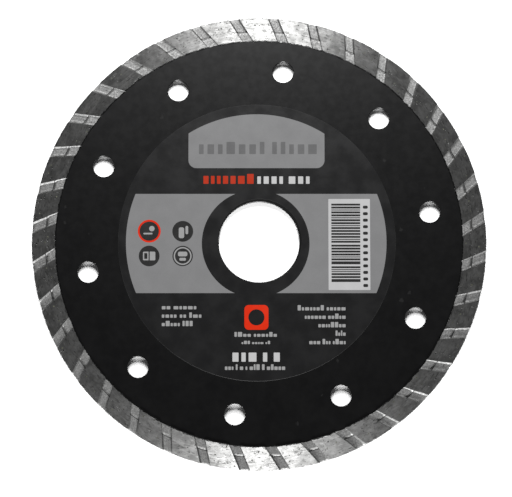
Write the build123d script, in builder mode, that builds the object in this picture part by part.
from build123d import *
from math import cos, radians, sin
from random import Random
import os

# A 125 mm turbo-rim diamond cutting disc for an angle grinder. It lies flat: its axis is Z and
# the labelled side faces +Z. The origin is the centre of the bore, halfway through the thickness.
# Lengths are in millimetres and angles in degrees, anticlockwise from +X seen from +Z.

# Whole disc
disc_radius = 125.0 / 2
disc_thickness = 2.2
bore_radius = 22.23 / 2

# Steel core: a flat disc whose edge is a thinner, notched tongue that the rim is sintered onto
core_thickness = 1.4
core_radius = 58.4
tongue_thickness = 1.3
tongue_root_radius = 55.0
hole_edge_break = 0.1
cooling_hole_count = 10
cooling_hole_radius = 2.9
cooling_circle_radius = 47.65
cooling_hole_start = 10.0
notch_count = 36
notch_radius = 0.7
notch_start = 7.0

# Sintered rim: slanted turbo grooves in both faces, the back ones half a pitch on from the front
rim_inner_radius = 55.8
crystal_stand = 0.04
groove_count = 36
groove_width = 2.75
groove_depth_outside_core = 0.6
groove_depth_over_core = 0.3
groove_wall_slope = 0.71
groove_step_run = 0.5
groove_inner_end = (55.9, 3.15)
groove_outer_end = (62.5, 6.5)
groove_overrun = 3.0
rim_outer_round = 0.3
rim_inner_break = 0.12

# Diamond crystals that show in the rim: six-sided, widest at the root, and sunk into the bond
crystal_root_radius = 0.3
crystal_height = 0.3
crystal_taper = 20.0
crystals_per_land = 2
land_crystal_margin = 2.1
edge_crystal_sway = 0.12
scatter_seed = 11

# Front label: a thin film ring, whose outer edge and hole are each a little off centre
label_radius = 76.3 / 2
label_hole_radius = 11.53
label_hole_centre = (0.2, 0.35)
label_thickness = 0.1
label_shift_x = -0.6

land_height = disc_thickness / 2 - crystal_stand
edge_radius = disc_radius - crystal_stand
groove_pitch = 360 / groove_count


def save(piece, name):
    """Labels a finished piece and writes it as a STEP file of the same name."""
    piece.part.label = name
    export_step(piece.part, f"parts/{name}.step")


def at_radius(radius, angle):
    """A point in the plane of the disc from its radius and angle."""
    return Vector(radius * cos(radians(angle)), radius * sin(radians(angle)))


os.makedirs("parts", exist_ok=True)

# ---------------------------------------------------------------- steel core
with BuildPart() as steel_core:
    with BuildSketch(Plane.XY.offset(-core_thickness / 2)):
        Circle(rim_inner_radius)
        Circle(bore_radius, mode=Mode.SUBTRACT)
        with PolarLocations(cooling_circle_radius, cooling_hole_count, start_angle=cooling_hole_start):
            Circle(cooling_hole_radius, mode=Mode.SUBTRACT)
    extrude(amount=core_thickness)
    hole_mouths = steel_core.edges().filter_by(GeomType.CIRCLE)
    hole_mouths = hole_mouths.filter_by(lambda edge: edge.radius < rim_inner_radius)
    chamfer(hole_mouths, hole_edge_break)
    with BuildSketch(Plane.XY.offset(-tongue_thickness / 2)):
        Circle(core_radius)
        Circle(tongue_root_radius, mode=Mode.SUBTRACT)
        with PolarLocations(core_radius, notch_count, start_angle=notch_start):
            Circle(notch_radius, mode=Mode.SUBTRACT)
    extrude(amount=tongue_thickness)
save(steel_core, "steel_core")

# ---------------------------------------------------------------- turbo groove
groove_start = at_radius(*groove_inner_end)
groove_finish = at_radius(*groove_outer_end)
groove_line = groove_finish - groove_start
groove_middle = (groove_start + groove_finish) / 2
groove_direction = Vector(1, 0).get_signed_angle(groove_line, Vector(0, 0, 1))
groove_run = groove_line.length + 2 * groove_overrun
above_land = 0.1

# The punch that presses one front groove. Its walls draw in as it deepens, and it is shallower
# over the core, with a sloping step at the core's edge.
with BuildPart() as groove_punch:
    for depth in (-above_land, groove_depth_outside_core):
        with BuildSketch(Plane.XY.offset(land_height - depth)):
            with Locations((groove_middle.X, groove_middle.Y)):
                slot_width = groove_width - 2 * groove_wall_slope * depth
                Rectangle(groove_run, slot_width, rotation=groove_direction)
    loft()
    step_drop = groove_depth_outside_core - groove_depth_over_core
    with Locations((0, 0, land_height - groove_depth_outside_core)):
        Cone(
            core_radius + groove_step_run / 2,
            core_radius - groove_step_run / 2,
            step_drop,
            align=(Align.CENTER, Align.CENTER, Align.MIN),
            mode=Mode.SUBTRACT,
        )

# ---------------------------------------------------------------- diamond crystals
with BuildPart() as crystal:
    with BuildSketch(Plane.XY.offset(-crystal_height)):
        RegularPolygon(crystal_root_radius, side_count=6)
    extrude(amount=crystal_height, taper=crystal_taper)


def groove_angle(radius):
    """The angle of the first front groove's middle at a radius."""
    share = (radius - groove_inner_end[0]) / (groove_outer_end[0] - groove_inner_end[0])
    return groove_inner_end[1] + share * (groove_outer_end[1] - groove_inner_end[1])


def crystal_places():
    """Scattered places for crystals on the lands of both faces and round the outer edge.

    Each place puts the crystal's small end on the disc's outer surface.
    """
    chance = Random(scatter_seed)
    land_room = groove_pitch - 2 * land_crystal_margin
    half_turn = Location((0, 0, 0), (180, 0, 0))
    outward = Location((0, 0, 0), (0, 90, 0))
    places = []
    for pitch_number in range(groove_count):
        pitch_start = pitch_number * groove_pitch
        for side in (1, -1):
            land_start = pitch_start + land_crystal_margin + (0 if side > 0 else groove_pitch / 2)
            for share in range(crystals_per_land):
                radius = chance.uniform(rim_inner_radius + 0.6, disc_radius - 0.9)
                along = (share + chance.uniform(0.1, 0.9)) / crystals_per_land
                spot = at_radius(radius, groove_angle(radius) + land_start + along * land_room)
                place = Location((spot.X, spot.Y, side * disc_thickness / 2), (0, 0, chance.uniform(0, 60)))
                places.append(place if side > 0 else place * half_turn)
        angle = pitch_start + chance.uniform(0.1, 0.9) * groove_pitch
        spot = at_radius(disc_radius, angle)
        height = chance.uniform(-edge_crystal_sway, edge_crystal_sway)
        places.append(Location((spot.X, spot.Y, height), (0, 0, angle)) * outward)
    return places


with BuildPart() as diamond_grit:
    with Locations(*crystal_places()):
        add(crystal.part)
save(diamond_grit, "diamond_grit")

# ---------------------------------------------------------------- sintered rim
with BuildPart() as diamond_rim:
    with BuildSketch(Plane.XZ):
        with Locations(((rim_inner_radius + edge_radius) / 2, 0)):
            Rectangle(edge_radius - rim_inner_radius, 2 * land_height)
    revolve(axis=Axis.Z)
    corners = diamond_rim.edges().filter_by(GeomType.CIRCLE).sort_by(lambda edge: edge.radius)
    chamfer(corners[:2], rim_inner_break)
    fillet(corners[2:], rim_outer_round)
    add(steel_core.part, mode=Mode.SUBTRACT)
    with PolarLocations(0, groove_count):
        add(groove_punch.part, mode=Mode.SUBTRACT)
    back_punch = mirror(groove_punch.part, about=Plane.XY, mode=Mode.PRIVATE)
    with PolarLocations(0, groove_count, start_angle=groove_pitch / 2):
        add(back_punch, mode=Mode.SUBTRACT)
    add(diamond_grit.part, mode=Mode.SUBTRACT)
save(diamond_rim, "diamond_rim")

# ---------------------------------------------------------------- front label
with BuildPart() as front_label:
    with BuildSketch(Plane.XY.offset(core_thickness / 2)):
        with Locations((label_shift_x, 0)):
            Circle(label_radius)
        with Locations(label_hole_centre):
            Circle(label_hole_radius, mode=Mode.SUBTRACT)
    extrude(amount=label_thickness)
save(front_label, "front_label")
